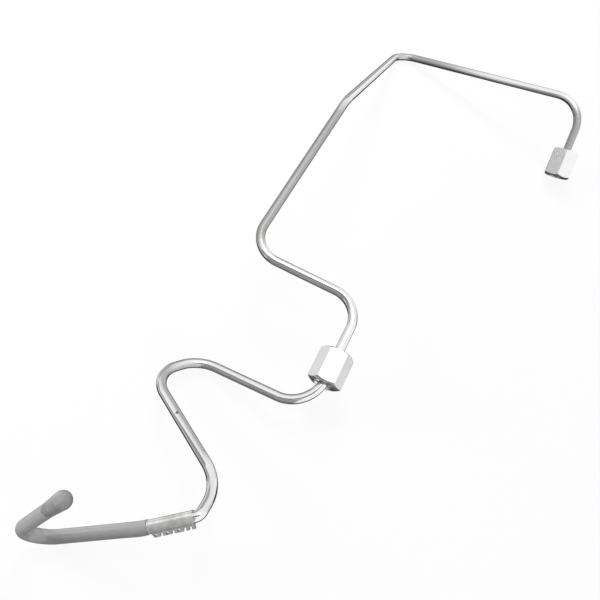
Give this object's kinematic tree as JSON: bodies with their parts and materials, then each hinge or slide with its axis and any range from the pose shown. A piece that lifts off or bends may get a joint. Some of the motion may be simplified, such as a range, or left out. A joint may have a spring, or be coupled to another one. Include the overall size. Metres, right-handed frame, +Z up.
{
  "type": "bent pressure tube",
  "caption": "Long plated steel pressure tube with many bends, swivelling hexagon union nuts, a toothed crimp sleeve and a grey covered, capped end.",
  "frame": {"origin": "on the floor, under the middle of the box around the part as it lies", "axes": "+Z up from the floor, +Y along the longer side of the footprint, +X towards the upper union nut"},
  "size_m": [0.371, 0.4282, 0.066],
  "materials": {
    "steel_tube": "bright plated",
    "upper_union_nut": "pale satin plating",
    "middle_union_nut": "pale satin plating",
    "crimp_sleeve": "bright",
    "protective_sleeve": "matte grey",
    "end_cap": "matte grey"
  },
  "bodies": {
    "pipe": {"steel_tube": "steel_tube", "crimp_sleeve": "crimp_sleeve", "protective_sleeve": "protective_sleeve", "end_cap": "end_cap"},
    "upper_nut": {"upper_union_nut": "upper_union_nut"},
    "middle_nut": {"middle_union_nut": "middle_union_nut"}
  },
  "joints": [
    {"name": "upper_nut_turn", "type": "hinge", "parent": "pipe", "child": "upper_nut", "pos_m": [0.17275, 0.0838, 0.01436], "axis": [0.2164, 0.6884, 0.6923], "continuous": true},
    {"name": "middle_nut_turn", "type": "hinge", "parent": "pipe", "child": "middle_nut", "pos_m": [-0.02526, -0.11401, 0.02008], "axis": [-0.4151, -0.8895, -0.1911], "continuous": true}
  ]
}
